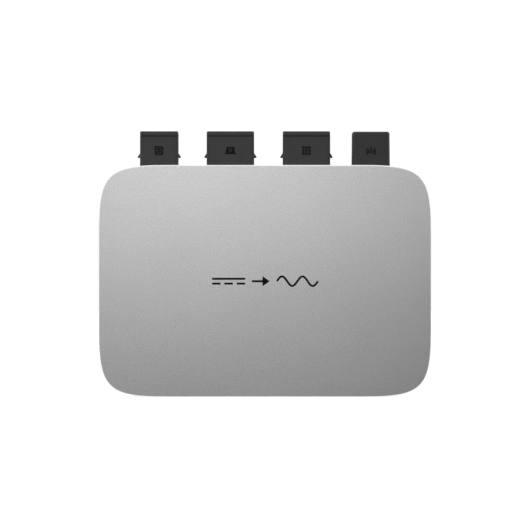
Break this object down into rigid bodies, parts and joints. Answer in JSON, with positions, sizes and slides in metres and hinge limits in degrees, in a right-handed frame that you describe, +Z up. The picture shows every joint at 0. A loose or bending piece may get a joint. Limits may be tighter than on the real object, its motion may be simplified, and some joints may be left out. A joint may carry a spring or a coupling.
{
  "type": "micro inverter",
  "caption": "Flat grid-tie solar micro inverter: silver finned housing with black plug sockets and an antenna stub along its top edge.",
  "frame": {"origin": "middle of the housing's lower edge, on the surface it stands on, midway between front and back", "axes": "+Z up, ports pointing up; +X to the right seen from the front; the front cover faces -Y and the finned back +Y"},
  "size_m": [0.242, 0.03, 0.1934],
  "materials": {
    "cover_aluminium": "bead-blasted, silver anodised, satin",
    "cast_aluminium": "die-cast, blasted and anodised, matt",
    "gasket_rubber": "matt silicone",
    "screw_steel": "zinc-plated",
    "label_film": "blank satin film",
    "black_plastic": "fine-textured glass-filled nylon",
    "membrane_film": "woven white film",
    "board_laminate": "green solder resist",
    "copper_track": "tinned copper",
    "lead_black": "silicone insulation",
    "lead_grey": "silicone insulation",
    "lead_red": "silicone insulation",
    "clear_plastic": "frosted polycarbonate",
    "lamp_plastic": "encapsulated lamp",
    "switch_plastic": "moulded",
    "plunger_plastic": "moulded",
    "button_plastic": "smooth matt",
    "seal_rubber": "matt silicone",
    "capacitor_sleeve": "shrink sleeve",
    "film_box": "cast resin box",
    "ferrite": "ground ferrite",
    "bobbin_plastic": "phenolic",
    "winding_tape": "polyester tape",
    "powder_core": "epoxy-coated powder core",
    "enamelled_copper": "enamelled",
    "relay_case": "sealed case",
    "fuse_glass": "ceramic tube with metal caps",
    "spring_steel": "nickel-plated",
    "varistor_epoxy": "epoxy dip",
    "transistor_epoxy": "moulded epoxy",
    "pad_silicone": "soft gap filler",
    "chip_epoxy": "moulded epoxy",
    "header_plastic": "moulded",
    "insulator_plastic": "glass-filled nylon",
    "contact_metal": "gold-flashed copper alloy"
  },
  "bodies": {
    "housing": {"ac_flange_gasket": "gasket_rubber", "ac_leads": "lead_black", "ac_socket_contacts": "contact_metal", "ac_socket_core": "insulator_plastic", "ac_socket_seal": "seal_rubber", "ac_socket_shell": "black_plastic", "antenna_board": "board_laminate", "antenna_cap": "black_plastic", "antenna_flange_gasket": "gasket_rubber", "antenna_lead": "lead_black", "antenna_track": "copper_track", "battery_flange_gasket": "gasket_rubber", "battery_leads": "lead_grey", "battery_socket_contacts": "contact_metal", "battery_socket_core": "insulator_plastic", "battery_socket_seal": "seal_rubber", "battery_socket_shell": "black_plastic", "board_headers": "header_plastic", "board_screws": "screw_steel", "boost_inductor_cores": "powder_core", "boost_inductor_windings": "enamelled_copper", "choke_core": "ferrite", "choke_windings": "enamelled_copper", "clamp_screws": "screw_steel", "control_board": "board_laminate", "control_chips": "chip_epoxy", "cover_gasket": "gasket_rubber", "cover_screws": "screw_steel", "dc_link_capacitors": "capacitor_sleeve", "film_capacitors": "film_box", "front_cover": "cover_aluminium", "fuse": "fuse_glass", "fuse_clips": "spring_steel", "grid_relays": "relay_case", "main_board": "board_laminate", "port_screws": "screw_steel", "power_transistors": "transistor_epoxy", "rating_label": "label_film", "rear_housing": "cast_aluminium", "solar_flange_gasket": "gasket_rubber", "solar_leads": "lead_red", "solar_socket_contacts": "contact_metal", "solar_socket_core": "insulator_plastic", "solar_socket_seal": "seal_rubber", "solar_socket_shell": "black_plastic", "status_lamp": "lamp_plastic", "status_light_pipe": "clear_plastic", "tact_switch": "switch_plastic", "thermal_pads": "pad_silicone", "transformer_bobbins": "bobbin_plastic", "transformer_cores": "ferrite", "transformer_windings": "winding_tape", "transistor_clamps": "spring_steel", "varistor": "varistor_epoxy", "vent_body": "black_plastic", "vent_membrane": "membrane_film"},
    "button": {"pairing_button": "button_plastic", "button_seal": "seal_rubber", "switch_plunger": "plunger_plastic"}
  },
  "joints": [
    {"name": "button_press", "type": "slide", "parent": "housing", "child": "button", "axis": [0, 0, -1], "range_m": [0, 0.0005], "stiffness_N_per_m": 1500, "springref_m": -0.0005}
  ]
}
